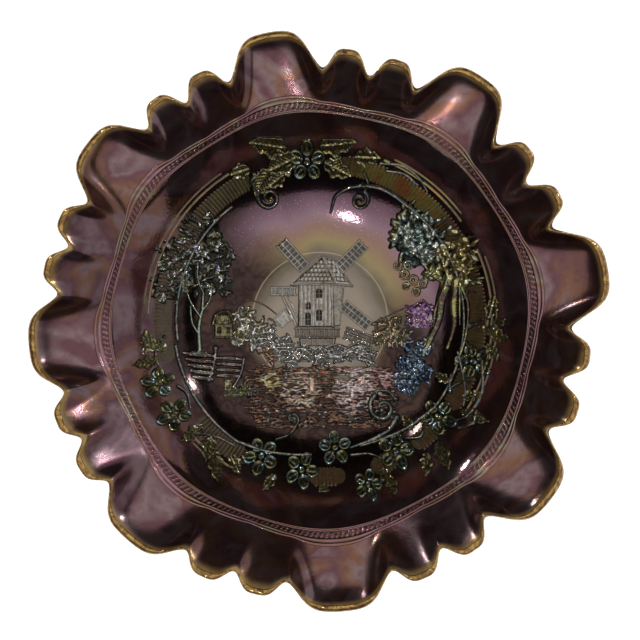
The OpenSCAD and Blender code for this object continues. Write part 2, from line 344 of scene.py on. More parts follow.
def band_film():
    p = Paint("stippled_mauve", 0.92)
    colour = p.clouds(p.noise(24, 2, 0.8, 5.0), [
        (0.17, 0.085, 0.08), (0.25, 0.14, 0.15), (0.19, 0.10, 0.07), (0.22, 0.18, 0.13),
        (0.16, 0.08, 0.09)])
    # painted shade: the low ground between the raised lines and the hatching is darkened
    colour = p.mix(p.span(p.noted("lift"), 0.16, 0.04), colour, (0.09, 0.042, 0.045))
    p.bump(p.noise(0.5, 2, 0.0, 3.0), 0.2, 0.06)
    return p.finish(colour, p.drift(1.1, 6.0, 0.12, 0.28))


def lip_film():
    """The lip is thin enough for light to come through it amber."""
    p = Paint("amber_gold", 0.55)
    p.shader.inputs["Transmission Weight"].default_value = 0.15
    p.shader.inputs["IOR"].default_value = 1.5
    colour = p.clouds(p.noise(6, 3, 1.2, 6.0), [
        (0.12, 0.055, 0.015), (0.56, 0.34, 0.10), (0.16, 0.08, 0.02), (0.46, 0.26, 0.07),
        (0.06, 0.028, 0.01)])
    p.bump(p.noise(4.5, 2, 0.2, 3.0), 0.5, 0.9)
    return p.finish(colour, p.drift(4, 9.0, 0.05, 0.12))


def lustre(name, seed, colours, patch=5.0, dark=0.15, zones=(), metallic=0.88):
    """Raised glass under a metallic film: patches of colour, with painted shade down in its
    hollows.

    Each zone is a place, a radius and the colours that take over inside it.
    """
    p = Paint(name, metallic)
    cloud = p.noise(patch, 3, 1.0, seed)
    colour = p.clouds(cloud, colours)
    for place, radius, own in zones:
        blur = p.drift(6, seed + 5, 0.75, 1.3, 0.5)
        share = p.span(p.math("MULTIPLY", p.distance(*place), blur), radius * 1.1, radius * 0.8)
        colour = p.mix(share, colour, p.clouds(cloud, own))
    fine = p.clouds(p.noise(0.9, 3, 0.3, seed + 3), [(0.50, 0.50, 0.52), (1, 1, 1), (1, 1, 1)])
    colour = p.mix(0.9, colour, fine, "MULTIPLY")
    # painted shade: the colour darkens towards the raised glass's low parts, down to the share dark
    # at its foot, while the tops stay bright
    hollow = p.span(p.noted("lift"), 0.15, 0.95, dark, 1.0)
    p.bump(p.noise(0.7, 2, 0.2, seed), 0.18, 0.10)
    return p.finish(p.scaled(colour, hollow), p.drift(2.0, seed + 9, 0.05, 0.15))


OLIVE, GOLD, SAGE = (0.22, 0.21, 0.09), (0.50, 0.40, 0.15), (0.24, 0.28, 0.19)
CYAN, BLUE, WHITE = (0.30, 0.44, 0.46), (0.07, 0.11, 0.32), (0.85, 0.85, 0.80)
PINK, VIOLET, BRONZE = (0.58, 0.30, 0.36), (0.26, 0.13, 0.36), (0.30, 0.25, 0.20)
RUST, STONE, SOOT = (0.44, 0.19, 0.08), (0.40, 0.37, 0.32), (0.05, 0.04, 0.035)
UMBER = (0.13, 0.07, 0.05)

# dark: how far the painted shade in each lustre's hollows darkens its colour
LUSTRES = {
    "tower": dict(colours=[BRONZE, STONE, BRONZE, STONE], patch=6, dark=0.08, metallic=0.7),
    "cap": dict(colours=[BRONZE, STONE, BRONZE], patch=6, dark=0.10, metallic=0.7),
    "sail": dict(colours=[STONE, (0.62, 0.58, 0.52), STONE], patch=6, dark=0.06, metallic=0.7),
    "gallery": dict(colours=[STONE, BRONZE, STONE], dark=0.2),
    "ramp": dict(colours=[STONE, BRONZE, STONE]),
    "cottage": dict(colours=[OLIVE, (0.24, 0.20, 0.10), SOOT, OLIVE], patch=4),
    "fence": dict(colours=[STONE, UMBER, (0.22, 0.22, 0.22), BRONZE, STONE], dark=0.08),
    "left_tree": dict(
        colours=[SOOT, OLIVE, UMBER, SAGE, SOOT, WHITE, VIOLET], patch=2.6, dark=0.10,
        zones=[((-52.5, -2), 13, [CYAN, SAGE, STONE])]),
    "right_tree": dict(
        colours=[SOOT, OLIVE, SAGE, GOLD, OLIVE, WHITE], patch=2.6, dark=0.05, zones=[
            ((42, 35), 13, [SAGE, SOOT, CYAN, OLIVE, WHITE, CYAN]),
            ((60, 28), 10, [SOOT, OLIVE, GOLD, BRONZE, GOLD]),
            ((52, 2), 13, [SOOT, OLIVE, SOOT, UMBER, SOOT, SAGE]),
            ((58, 5), 4, [GOLD, OLIVE, GOLD])]),
    "hill": dict(
        colours=[UMBER, BRONZE, RUST, STONE], patch=3, dark=0.25,
        zones=[((44.5, 0), 12, [BRONZE, PINK, (0.16, 0.08, 0.11), VIOLET, STONE, PINK])]),
    "bush": dict(
        colours=[STONE, BRONZE, WHITE, STONE, BRONZE, WHITE], patch=2.2, dark=0.20, zones=[
            ((31, -5), 11, [SOOT, OLIVE, STONE, GOLD, PINK, WHITE]),
            ((41, -20), 13, [SOOT, BLUE, SOOT, CYAN, BLUE, WHITE, GOLD]),
            ((-33, -2), 9, [SOOT, GOLD, STONE, WHITE, GOLD]),
            ((-38, -31), 11, [SOOT, OLIVE, SAGE, GOLD, WHITE]),
            ((-24, -17), 6, [OLIVE, PINK, GOLD, BLUE])]),
    "ripple": dict(
        colours=[SOOT, UMBER, RUST, UMBER, SOOT, BRONZE, WHITE], patch=1.8, dark=0.10,
        metallic=0.6, zones=[
            ((15, -30), 11, [PINK, RUST, WHITE, PINK, GOLD]),
            ((-9, -31), 9, [RUST, PINK, GOLD, WHITE, RUST]),
            ((-22, -26), 5, [RUST, GOLD, WHITE]),
            ((28, -26), 6, [WHITE, PINK, RUST, WHITE])]),
    "rib": dict(
        colours=[(0.30, 0.15, 0.08), (0.40, 0.22, 0.11), (0.30, 0.22, 0.09), (0.24, 0.11, 0.07)],
        patch=12, dark=0.22, metallic=0.25, zones=[
            ((35, 57), 22, [(0.85, 0.42, 0.12), (0.62, 0.52, 0.16), (0.72, 0.28, 0.09)]),
            ((-34, 56), 16, [(0.32, 0.27, 0.10), (0.22, 0.14, 0.07)])]),
    "vine": dict(
        colours=[SOOT, (0.14, 0.17, 0.14), (0.07, 0.09, 0.10), BRONZE, SOOT, OLIVE], dark=0.10),
    "flower": dict(
        colours=[OLIVE, (0.14, 0.17, 0.12), (0.26, 0.24, 0.09), SOOT, CYAN, OLIVE], patch=4,
        dark=0.06),
    "leaf": dict(
        colours=[(0.16, 0.16, 0.07), GOLD, SOOT, OLIVE, SOOT, GOLD, WHITE], patch=3, dark=0.05),
}

WELL_GLASS = well_glass()
BRIM_GLASS = brim_glass()
RING_BAND = band_film()
AMBER_LIP = lip_film()
FOOT_GLASS = plain_film("amethyst_foot_film", 0.1, 0.25)
GLASS_OUTSIDE = plain_film("amethyst_outside_film")


# ---- the smooth glass
AROUND = 720
DEGREES = np.arange(AROUND) * 360.0 / AROUND
AXIS_HOLE = 0.05   # radius of the first row, which the floor's middle closes


def glass_row(kind, at, under):
    """One row of points round the bowl, on the inside face or under it."""
    if kind == "ruffle":
        return ruffle(np.full(AROUND, at), DEGREES, depth(at) if under else 0.0)
    out = GLASS if under else 0.0
    r, z = (at, FLOOR_H - out) if kind == "flat" else wall_point(at, out)
    return turned(r, z, DEGREES)


SPANS = [
    # kind of row, from, to, number of rows
    ("flat", AXIS_HOLE, FLAT_R, 19), ("wall", 0, FLOOR_A, 15), ("wall", FLOOR_A, WELL_A, 43),
    ("ruffle", 0, BAND_IN, 21), ("ruffle", BAND_IN, BAND_OUT, 7), ("ruffle", BAND_OUT, EDGE_V, 49)]
ROWS, STARTS = [], []
for kind, low, high, count in SPANS:
    STARTS.append(len(ROWS))
    ROWS += [(kind, at) for at in np.linspace(low, high, count + 1)[:-1]]
EDGE_ROW = len(ROWS)
ROWS.append(("ruffle", EDGE_V))
FLOOR_ROW, WALL_ROW, BAND_ROW, BRIM_ROW = STARTS[2:]


def glass_grid(under):
    """All rows of one face of the glass, and their normals away from the glass."""
    p = np.array([glass_row(kind, at, under) for kind, at in ROWS])
    n = np.cross(np.roll(p, -1, axis=1) - np.roll(p, 1, axis=1), np.gradient(p, axis=0))
    n /= np.linalg.norm(n, axis=-1, keepdims=True)
    return p, n if under else -n


INSIDE, INSIDE_N = glass_grid(False)
OUTSIDE, OUTSIDE_N = glass_grid(True)


def glass_piece(name, first, last, material, slot, *nodes):
    """The glass between two rows. Its normals are the whole bowl's, so no joint line shows."""
    part = slice(first, last + 1)
    grid = np.concatenate([INSIDE[part], OUTSIDE[part][::-1]])
    normals = np.concatenate([INSIDE_N[part], OUTSIDE_N[part][::-1]])
    faces = ring_faces(len(grid), AROUND)[:, ::-1]
    ob = mesh_object(name, grid.reshape(-1, 3), faces, material)
    ob.data.normals_split_custom_set_from_vertices(normals.reshape(-1, 3).tolist())
    along = [at if kind == "ruffle" else 0.0 for kind, at in ROWS[part]]
    note(ob, "along", np.repeat(along + along[::-1], AROUND))
    finish_piece(ob, *nodes, slot=slot)


def closed_ring(name, rows, material, flat_rows):
    """A solid of rows that close on themselves and round the bowl."""
    grid = np.array(rows)
    count, around = grid.shape[:2]
    flat = np.isin(np.repeat(np.arange(count), around), flat_rows)
    return mesh_object(name, grid.reshape(-1, 3), ring_faces(count, around), material, flat)


def build_ring_band(around=2400, across=34):
    """Two double raised lines with slanting stippled hatching between them."""
    line_w, line_h, hatch_h, stipple_h, hatches = 0.032, 0.24, 0.10, 0.22, 260
    th = np.arange(around) * 360.0 / around
    rng = np.random.default_rng(2)
    stipple = rng.uniform(-0.5, 0.5, (across, around))
    stipple = sum(np.roll(stipple, k, axis=1) for k in range(3)) / 3
    rows, lifts = [], []
    for i, s in enumerate(np.linspace(0, 1, across)):
        line = sum(math.exp(-((s - at) / line_w) ** 2) for at in (0.07, 0.19, 0.82, 0.94))
        hatch = np.clip(np.cos(np.radians(th) * hatches + s * 7.0), -0.3, 1)
        middle = smooth((s - 0.24) / 0.08) * smooth((0.77 - s) / 0.08)
        lift = 0.05 + line_h * line + middle * (hatch_h * hatch + stipple_h * stipple[i])
        v = BAND_IN + (BAND_OUT - BAND_IN) * s
        rows.append(ruffle(np.full(around, v), th, -lift))
        lifts.append(lift)
    for v in (BAND_OUT, BAND_IN):
        rows.append(ruffle(np.full(around, v), th, depth(v)))
        lifts.append(np.zeros(around))
    ob = closed_ring("ring_band", rows, RING_BAND, (across - 1, across, across + 1))
    note(ob, "lift", np.concatenate(lifts))
    finish_piece(ob, "ring_band", slot="mauve_band")


def build_lip(around=1440, steps=22, swell=0.22):
    """The fire-polished lip: a rounded nose on the brim's edge."""
    th = np.arange(around) * 360.0 / around
    rows = []
    for c, s in (polar(a) for a in np.linspace(90, -90, steps)):
        v = EDGE_V + (1 - EDGE_V) * c
        rows.append(ruffle(np.full(around, v), th, RIM_T / 2 - (RIM_T / 2 + swell * c) * s))
    ob = closed_ring("amber_lip", rows, AMBER_LIP, (steps - 1,))
    finish_piece(ob, "gilt_edge", slot="amber_lip")


def build_foot(edge=1.1, sunk=0.4):
    """The collar foot, sunk into the wall, with rounded edges and a ground flat to rest on."""
    inner, outer = FOOT_R - FOOT_W, FOOT_R
    top_in = FLOOR_H - GLASS + sunk
    top_out = wall_point(math.asin((outer - FLAT_R) / (BEND_R + GLASS)), GLASS)[1] + sunk
    turns = [polar(a, edge) for a in np.linspace(0, 90, 8)]
    profile = [(inner - 0.8, top_in), (inner - 0.2, top_in - 1.4), (inner, top_in - 2.6)]
    profile += [(inner + edge - c, edge - s) for c, s in turns]
    profile += [(outer - edge + s, edge - c) for c, s in turns]
    profile += [(outer, 3.4), (outer - 0.15, 4.4), (outer, top_out - 1.0), (outer, top_out)]
    rows = [turned(r, z, np.arange(360)) for r, z in profile]
    ob = closed_ring("collar_foot", rows, FOOT_GLASS, (len(profile) - 1, 10))
    finish_piece(ob, "foot_ring", slot="amethyst_foot")


def build_outside_panels(panels=16, rib_w=1.7, rib_h=0.85, sides=12):
    """Round ribs up the outside of the wall, joined in arches at the top."""
    low_a, spring_a, top_a = FLOOR_A + 0.06, WELL_A - 0.16, WELL_A - 0.04
    half_step = 180 / panels
    rise = [(a, -half_step) for a in np.linspace(low_a, spring_a, 26)]
    arch = [(spring_a + (top_a - spring_a) * math.sin(t), -half_step * math.cos(t))
            for t in np.linspace(0, math.pi, 30)[1:-1]]
    a, turn = np.array(rise + arch).T
    count = len(a)
    size = np.minimum(1.0, np.arange(1, count + 1) / 6)[:, None, None]
    around = np.linspace(0, 2 * math.pi, sides, endpoint=False)[:, None]
    across, outward = rib_w / 2 * np.cos(around), rib_h * np.sin(around)
    rib_faces = ring_faces(count, sides)[:-sides, [0, 3, 2, 1]]
    cap = np.array([(0, b, b + 1, b + 2) for b in range(1, sides - 1, 2)])
    rib_faces = np.vstack([rib_faces, cap, cap[:, ::-1] + (count - 1) * sides])
    verts, faces = [], []
    for k in range(panels):
        th = 360 * k / panels + turn
        points = turned(*wall_point(a, GLASS), th)
        steps = np.pad(points, ((1, 1), (0, 0)), "edge")
        ahead = steps[2:] - steps[:-2]
        up = turned(np.sin(a), -np.cos(a), th)
        side = np.cross(ahead, up)
        side /= np.linalg.norm(side, axis=1, keepdims=True)
        ring = side[:, None] * across + up[:, None] * outward
        verts.append(points[:, None] + ring * size)
        faces.append(rib_faces + k * count * sides)
    verts = np.array(verts).reshape(-1, 3)
    ob = mesh_object("outside_arches", verts, np.vstack(faces), GLASS_OUTSIDE)
    finish_piece(ob, "outside_panels", slot="amethyst_outside")


# ---- raised drawings
UNDER = -0.15   # where a drawing ends, just under the glass
KEEP = 0.5      # how deep each raised piece is rooted in the glass
CELL = 0.5      # spacing of the table of heights past the well


def ruffle_table(reach=12):
    """Heights of the ruffled glass by whole degree and radius, for what reaches past the well."""
    degrees = np.arange(361.0)
    radii = np.arange(WELL_R, WELL_R + reach, CELL)
    rows = np.array([ruffle(np.full(361, v), degrees, 0.0) for v in np.linspace(0.0, 0.5, 50)])
    r = np.hypot(rows[..., 0], rows[..., 1])
    return np.array([np.interp(radii, r[:, i], rows[:, i, 2]) for i in range(361)])


RUFFLE_HEIGHTS = ruffle_table()


def glass_height(x, y):
    """Height of the inside face at a place in plan view."""
    r = np.hypot(x, y)
    turn = np.degrees(np.arctan2(y, x)) % 360
    t = RUFFLE_HEIGHTS
    across = np.clip((r - WELL_R) / CELL, 0, t.shape[1] - 1.001)
    i, j = turn.astype(int), across.astype(int)
    u, w = turn - i, across - j
    past = ((1 - u) * ((1 - w) * t[i, j] + w * t[i, j + 1])
            + u * ((1 - w) * t[i + 1, j] + w * t[i + 1, j + 1]))
    return np.where(r < WELL_R, well_height(r), past)


class Drawing:
    """One motif's height above the glass in mm, on a grid in plan view, built up in strokes."""

    def __init__(self, node, margin, step):
        low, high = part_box(node)
        self.step = step
        self.x0, self.y0 = low.x / MM - margin, low.y / MM - margin
        self.nx = int((high.x / MM + margin - self.x0) / step) + 1
        self.ny = int((high.y / MM + margin - self.y0) / step) + 1
        self.h = np.full((self.ny, self.nx), UNDER)

    def window(self, x0, y0, x1, y1):
        """The part of the grid in a rectangle, and its places."""
        i0, i1 = int((y0 - self.y0) / self.step), int((y1 - self.y0) / self.step) + 2
        j0, j1 = int((x0 - self.x0) / self.step), int((x1 - self.x0) / self.step) + 2
        i0, i1 = min(max(i0, 0), self.ny), min(max(i1, 0), self.ny)
        j0, j1 = min(max(j0, 0), self.nx), min(max(j1, 0), self.nx)
        x = self.x0 + self.step * np.arange(j0, j1)[None, :]
        y = self.y0 + self.step * np.arange(i0, i1)[:, None]
        return (slice(i0, i1), slice(j0, j1)), x, y

    def round_about(self, at, reach, turn=0.0):
        """The part of the grid near a place, and how far it is ahead and to the side there."""
        where, x, y = self.window(at[0] - reach, at[1] - reach, at[0] + reach, at[1] + reach)
        c, s = polar(turn)
        x, y = x - at[0], y - at[1]
        return where, x * c + y * s, y * c - x * s

    def raise_to(self, where, height):
        self.h[where] = np.maximum(self.h[where], height)

    def ridge(self, points, width, height):
        """A rounded line; width and height may each be one number or a start and an end."""
        points = np.asarray(points, float)
        n = len(points) - 1
        w = np.linspace(*np.broadcast_to(width, 2), n + 1)
        top = np.linspace(*np.broadcast_to(height, 2), n + 1)
        for k in range(n):
            (ax, ay), (bx, by) = points[k], points[k + 1]
            m = max(w[k], w[k + 1]) / 2 + 0.4
            low, high = points[k:k + 2].min(0) - m, points[k:k + 2].max(0) + m
            where, x, y = self.window(*low, *high)
            dx, dy = bx - ax, by - ay
            t = np.clip(((x - ax) * dx + (y - ay) * dy) / (dx * dx + dy * dy + 1e-9), 0, 1)
            d2 = (x - ax - t * dx) ** 2 + (y - ay - t * dy) ** 2
            half = (w[k] + (w[k + 1] - w[k]) * t) / 2
            self.raise_to(where, (top[k] + (top[k + 1] - top[k]) * t) * (1 - d2 / half**2))

    def curve(self, points, width, height, steps=14):
        """A rounded line through points, smoothed."""
        self.ridge(smooth_line(points, steps), width, height)

    def curves(self, height, lines):
        for points, width in lines:
            self.curve(points, width, height)

    def vine(self, points, width, height):
        """A curve through points given by their angle and radius from the bowl's middle."""
        self.curve([polar(a, r) for a, r in points], width, height)

    def oval(self, at, half, turn=0.0, height=1.0, base=0.0):
        """A dome on an oval foot; base lifts the whole dome."""
        where, u, w = self.round_about(at, max(half) + 0.4, turn)
        q = (u / half[0]) ** 2 + (w / half[1]) ** 2
        self.raise_to(where, np.where(q < 1.3, base * (q < 1) + height * (1 - q), UNDER))

    def slab(self, corners, height, bevel=0.5):
        """A flat-topped raised shape with bevelled sides; its corners run counterclockwise."""
        c = np.asarray(corners, float)
        where, x, y = self.window(*(c.min(0) - 0.5), *(c.max(0) + 0.5))
        inside = np.full(np.broadcast_shapes(x.shape, y.shape), 1e9)
        for (ax, ay), (bx, by) in zip(c, np.roll(c, -1, axis=0)):
            length = math.hypot(bx - ax, by - ay)
            inside = np.minimum(inside, ((bx - ax) * (y - ay) - (by - ay) * (x - ax)) / length)
        self.raise_to(where, height * np.minimum(1, inside / bevel))

    def carve(self, at, half, depth, turn=0.0):
        """Press a shallow rectangle into what is already raised."""
        where, u, w = self.round_about(at, math.hypot(*half) + 0.3, turn)
        q = np.maximum(np.abs(u) / half[0], np.abs(w) / half[1]) ** 4
        cut = depth * np.clip(1.4 * (1 - q), 0, 1)
        h = self.h[where]
        self.h[where] = np.where(h > 0, np.maximum(h - cut, 0.02), h)

    def groove(self, a, b, width, depth):
        """Press a straight line into what is already raised."""
        middle = ((a[0] + b[0]) / 2, (a[1] + b[1]) / 2)
        dx, dy = b[0] - a[0], b[1] - a[1]
        turn = math.degrees(math.atan2(dy, dx))
        self.carve(middle, (math.hypot(dx, dy) / 2, width / 2), depth, turn)

    def leaf(self, at, turn, length, width, height, lobed):
        """A pointed leaf from its stalk end, with a raised edge, a midrib and side veins."""
        where, u, w = self.round_about(at, length + 1, turn)
        u = u / length
        shape = np.sin(np.pi * np.clip(u, 0, 1) ** 0.75)
        half = width / 2 * shape * (1 + lobed * np.sin(u * 19)) + 1e-6
        q = np.abs(w) / half
        edge = np.exp(-((q - 0.86) / 0.13) ** 2)
        midrib = np.exp(-(w / 0.32) ** 2)
        veins = 0.5 + 0.5 * np.cos(2 * np.pi * (u * length - np.abs(w) * 0.9) / 1.5)
        top = height * (0.42 + 0.5 * edge + 0.55 * midrib + 0.2 * veins * (1 - midrib))
        body = np.where(q < 1, top * np.clip((1 - q) * 7, 0, 1), -0.12)
        inside = (u > 0) & (u < 1) & (q < 1.25)
        self.raise_to(where, np.where(inside, body, UNDER))

    def flower(self, at, radius, turn=0.0, height=1.2):
        """Five round petals, each a raised loop with a ridge up its middle, and a round eye."""
        for k in range(5):
            where, u, w = self.round_about(at, radius + 1, turn + 72 * k)
            u, w = u / radius, w / radius
            q = np.hypot((u - 0.61) / 0.40, w / 0.345)
            loop = np.exp(-((q - 0.80) / 0.17) ** 2)
            fold = np.exp(-(w / 0.055) ** 2) * np.clip((0.95 - u) * 4, 0, 1)
            dish = height * (0.30 + 0.62 * loop + 0.30 * fold) * np.clip((1 - q) * 8, 0, 1)
            self.raise_to(where, np.where(q < 1, dish, np.where(q < 1.2, -0.1, UNDER)))
        where, x, y = self.round_about(at, radius + 1)
        q = np.hypot(x, y) / (0.17 * radius)
        eye = height * (0.75 + 0.3 * np.exp(-((q - 0.7) / 0.25) ** 2))
        self.raise_to(where, np.where(q < 1, eye, UNDER))

    def spiral(self, at, radius, start, sweep, width, height):
        """A tendril that winds in from radius; sweep is its signed turn in degrees."""
        shrink, taper = 0.84, 0.55
        t = np.linspace(0, 1, 40)
        a = np.radians(start + sweep * t)
        r = radius * (1 - shrink * t**0.85)
        points = np.stack([at[0] + r * np.cos(a), at[1] + r * np.sin(a)], -1)
        self.ridge(points, (width, width * taper), (height, height * 0.8))
        self.oval(points[-1], (width * taper, width * taper), 0, height)

    def foliage(self, clumps, rng, leaf, height, per_mm2, ray, base=0.2):
        """Round clumps of small leaf blobs that point away from each clump's middle."""
        for cx, cy, radius in clumps:
            self.oval((cx, cy), (radius * 0.95, radius * 0.95), 0, base)
            for _ in range(int(per_mm2 * math.pi * radius**2)):
                a = rng.uniform(0, 2 * math.pi)
                r = radius * math.sqrt(rng.uniform(0.0, 1.15))
                size = rng.uniform(0.7, 1.25)
                turn = math.degrees(a) + rng.normal(0, 60 * (1 - ray) + 12)
                self.oval((cx + r * math.cos(a), cy + r * math.sin(a)),
                          (leaf[0] * size, leaf[1] * size), turn, rng.uniform(*height))


def smooth_line(points, steps):
    """A Catmull-Rom line through points."""
    p = np.asarray(points, float)
    p = np.vstack([2 * p[0] - p[1], p, 2 * p[-1] - p[-2]])
    t = np.linspace(0, 1, steps, endpoint=False)[:, None]
    out = []
    for a, b, c, d in zip(p[:-3], p[1:-2], p[2:-1], p[3:]):
        out.append(0.5 * (2 * b + (c - a) * t + (2 * a - 5 * b + 4 * c - d) * t**2
                          + (3 * b - a - 3 * c + d) * t**3))
    return np.vstack(out + [p[-2:-1]])


def arc(r, a0, a1, steps=60):
    return [polar(a, r) for a in np.linspace(a0, a1, steps)]


def grid_solid(d, name, material):
    """Mesh of a drawing: its raised face, a face under the glass, and walls between them."""
    x = d.x0 + d.step * np.arange(d.nx)[None, :] + np.zeros((d.ny, 1))
    y = d.y0 + d.step * np.arange(d.ny)[:, None] + np.zeros((1, d.nx))
    z = glass_height(x, y)
    dzdy, dzdx = np.gradient(z, d.step)
    n = np.stack([-dzdx, -dzdy, np.ones_like(z)], -1)
    n /= np.linalg.norm(n, axis=-1, keepdims=True)
    base = np.stack([x, y, z], -1)
    raised = d.h > UNDER + 1e-4
    cell = raised[:-1, :-1] | raised[1:, :-1] | raised[:-1, 1:] | raised[1:, 1:]
    for _ in range(4):
        # fill round a corner that only two opposite cells share, so that the solid stays clean
        corners = cell[:-1, :-1], cell[:-1, 1:], cell[1:, :-1], cell[1:, 1:]
        a, b, c, e = corners
        cross = (a & e & ~b & ~c) | (b & c & ~a & ~e)
        for part in corners:
            part |= cross
    used = np.zeros((d.ny, d.nx), bool)
    for part in (used[:-1, :-1], used[:-1, 1:], used[1:, :-1], used[1:, 1:]):
        part |= cell
    count = int(used.sum())
    index = np.full((d.ny, d.nx), -1)
    index[used] = np.arange(count)
    verts = np.vstack([(base + n * d.h[..., None])[used], (base - n * KEEP)[used]])
    i, j = np.nonzero(cell)
    quad = np.stack([index[i, j], index[i, j + 1], index[i + 1, j + 1], index[i + 1, j]], -1)
    faces = [quad, quad[:, ::-1] + count]
    padded = np.pad(cell, 1)
    rows, columns = cell.shape
    for di, dj, ends in ((-1, 0, ((0, 0), (0, 1))), (0, 1, ((0, 1), (1, 1))),
                         (1, 0, ((1, 1), (1, 0))), (0, -1, ((1, 0), (0, 0)))):
        beside = padded[1 + di:1 + di + rows, 1 + dj:1 + dj + columns]
        i, j = np.nonzero(cell & ~beside)
        a, b = (index[i + down, j + right] for down, right in ends)
        faces.append(np.stack([b, a, a + count, b + count], -1))
    ob = mesh_object(name, verts, np.vstack(faces), material)
    note(ob, "lift", np.concatenate([d.h[used], np.full(count, -KEEP)]))
    return ob


# ---- the scene in the well
HUB = (0.5, 14.5)


def draw_tower(d):
    """The board-sided tower, with its shaded side and four arched windows."""
    d.slab([(-9.7, -3), (5.9, -3), (5.3, 15.6), (-9.2, 15.6)], 0.85)
    d.slab([(5.9, -3), (8.6, -2.6), (10.6, 15.2), (5.3, 15.6)], 0.6)
    rng = np.random.default_rng(11)
    for x in np.arange(-8.9, 5.4, 1.75):
        sway = rng.normal(0, 0.16, 5)
        heights = enumerate((-2.4, 2, 6.4, 10.8, 15))
        d.curve([(x + sway[k] + 0.02 * k, y) for k, y in heights], 1.25, 1.2)
    d.ridge([(5.7, -3), (5.3, 15.6)], 0.9, 1.3)
    d.ridge([(8.5, -2.4), (10.3, 15)], 0.6, 0.95)
    for x, y, w, h in ((-0.4, 11.4, 1.5, 1.9), (-5, 6, 1.1, 1.5), (-5.2, 0.3, 1.3, 2.6),
                       (-0.4, 1.9, 1.4, 2.3)):
        d.carve((x, y), (w + 0.25, h + 0.25), 0.85)
        x0, x1, y0, y1 = x - w, x + w, y - h, y + h
        d.curve([(x0, y0), (x0, y1 - 0.6), (x, y1 + 0.4), (x1, y1 - 0.6), (x1, y0)], 0.6, 1.35, 8)
        d.ridge([(x0, y0), (x1, y0)], 0.5, 1.2)
        d.ridge([(x, y0), (x, y1)], 0.4, 0.85)
        d.ridge([(x0, y), (x1, y)], 0.4, 0.8)


def draw_cap(d):
    """The two-sided cap, with rows of shingles."""
    d.slab([(-12.3, 15.5), (7, 15.5), (0.9, 27.4)], 1.35, 0.7)
    d.slab([(7, 15.5), (13.8, 14.9), (6.2, 26.4), (0.9, 27.4)], 1.1, 0.6)
    for row in range(6):
        y = 16.9 + row * 1.85
        x0, x1 = -10.9 + row * 2.05, 6.1 - row * 0.95
        d.groove((x0, y), (x1, y), 0.45, 0.75)
        d.groove((x1 + 0.7, y), (12.4 - row * 1.3, y - 0.3), 0.4, 0.6)
        for x in np.arange(x0 + 0.5 + 0.8 * (row % 2), x1, 1.7):
            d.groove((x, y), (x + 0.25, y + 1.7), 0.4, 0.7)
        for x in np.arange(x1 + 1.2 + 0.7 * (row % 2), 12.2 - row * 1.3, 1.7):
            d.groove((x, y - 0.2), (x - 0.4, y + 1.5), 0.4, 0.55)
    d.ridge([(-12.6, 15.4), (7.2, 15.3), (14.1, 14.7)], 1, 1.6)
    d.ridge([(-12.4, 15.7), (0.9, 27.5), (7.1, 15.5)], 0.7, 1.55)
    d.ridge([(0.9, 27.5), (6.3, 26.5), (13.9, 15)], 0.7, 1.4)


def draw_sail(d, turn, near, far, width):
    """A latticed sail: two long rails, cross laths and a middle stock."""
    along = np.array(polar(turn))
    side = np.array([-along[1], along[0]])
    hub = np.array(HUB)
    a, b = hub + along * near, hub + along * far
    half = side * width / 2
    d.slab([a - half, b - half, b + half, a + half], 0.3, 0.3)
    for s in (-0.5, 0.06, 0.5):
        d.ridge([a + side * width * s, b + side * width * s], 0.9, 1.7)
    for t in np.arange(near, far + 0.1, 2):
        p = hub + along * t
        d.ridge([p - half, p + half], 0.75, 1.5)


def draw_sails(d):
    """Three sails round the hub, and the braced vane at the left."""
    draw_sail(d, 132, 11, 25.8, 5)
    draw_sail(d, 45, 9.6, 26, 5)
    draw_sail(d, -39.5, 12.6, 26.5, 4.6)
    d.slab([(-21.2, 10.8), (-10.6, 11), (-10.6, 14.3), (-21.2, 14.1)], 0.45, 0.4)
    for y in (10.9, 14.2):
        d.ridge([(-21.3, y), (-10.4, y)], 0.95, 1.5)
    for x in np.arange(-21.2, -10.4, 1.7):
        d.ridge([(x, 10.9), (x, 14.2)], 0.7, 1.25)
    d.ridge([(-16.2, 10), (-10.3, -2.5)], 1.2, 1.6)
    d.ridge([(-14, 10.2), (-9.9, 1.5)], 0.8, 1.2)
    vane = np.array([(-20, 0.2), (-16.6, -3.1), (-12.4, 0.5), (-15.4, 4.5)])
    d.slab(vane, 0.6, 0.4)
    d.ridge([*vane, vane[0]], 0.95, 1.5)
    for t in (0.35, 0.7):
        d.ridge(vane[:2] * (1 - t) + vane[:1:-1] * t, 0.5, 0.95)


def draw_gallery(d):
    """The railed gallery, and the boarded base under it."""
    d.slab([(-10.4, -7.5), (8, -7.5), (8, -3.6), (-10.4, -3.6)], 0.45, 0.4)
    for y in (-3.7, -7.4):
        d.ridge([(-11, y), (8.4, y)], 0.9, 1.35)
    for x in np.arange(-10.4, 8.3, 1.55):
        d.ridge([(x, -3.7), (x, -7.4)], 0.7, 1.15)
    d.slab([(-8.6, -11.4), (6.4, -11.4), (7, -7.8), (-9.3, -7.8)], 0.5, 0.4)
    for x in np.arange(-8, 6.5, 2.3):
        d.ridge([(x, -7.8), (x, -11.3)], 0.6, 0.85)


def draw_ramp(d):
    """The planked ramp down to the right, with its end post."""
    near, far = np.array([10.9, -5.6]), np.array([22.4, -9.7])
    side = np.array([0.34, 0.94]) * 2.5
    d.slab([near - side, far - side, far + side, near + side], 0.4, 0.4)
    for s in (-1, 0.1, 1):
        d.ridge([near + side * s, far + side * s], 0.95, 1.5)
    for t in np.linspace(0, 1, 8):
        p = near * (1 - t) + far * t
        d.ridge([p - side, p + side], 0.5, 0.95)
    for t in np.linspace(0, 0.875, 8):
        p, q = near * (1 - t) + far * t, near * (0.875 - t) + far * (t + 0.125)
        d.ridge([p - side, q + side * 0.1], 0.4, 0.8)
    d.ridge([far + (0, 2.2), far + (-0.4, -4.2)], 1, 1.2)


